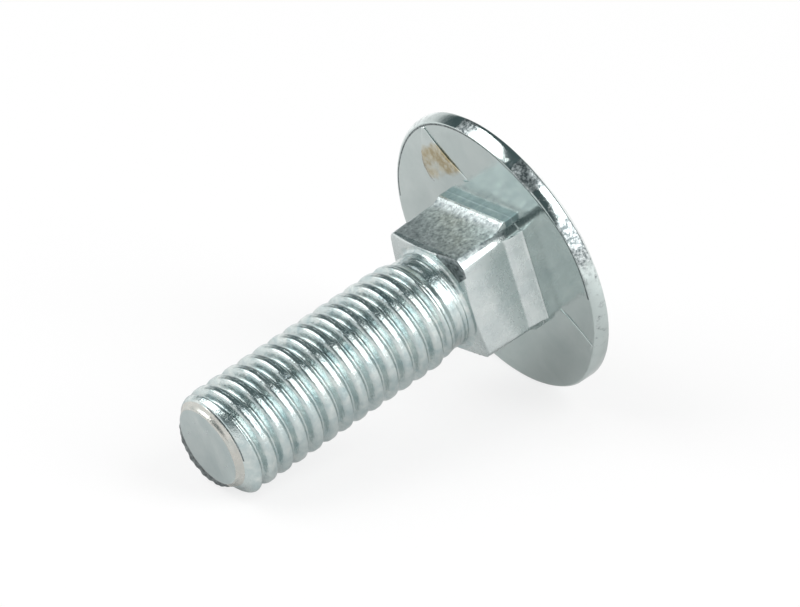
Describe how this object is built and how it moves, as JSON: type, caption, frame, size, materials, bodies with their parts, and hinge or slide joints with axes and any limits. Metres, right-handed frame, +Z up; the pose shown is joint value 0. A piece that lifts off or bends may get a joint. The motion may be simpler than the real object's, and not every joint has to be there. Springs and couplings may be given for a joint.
{
  "type": "carriage bolt",
  "caption": "low round-head carriage bolt in bright zinc-plated steel, with a square neck, a seating bar under each flat and a coarse rolled thread, lying on its side",
  "frame": {"origin": "on the floor, under the centre of the bolt's box as it lies", "axes": "+Z up; +X along the bolt's length as seen from above, from the tip towards the head; the bolt's own axis leans 14.84 degrees up from +X towards +Z, because the head's rim and the thread both touch the floor; +Y across"},
  "size_m": [0.0226, 0.0156, 0.0153],
  "materials": {
    "zinc_plate": "bright blue-white zinc plating with a slight green cast, semi-gloss"
  },
  "bodies": {
    "root": {"carriage_bolt": "zinc_plate"}
  },
  "joints": []
}
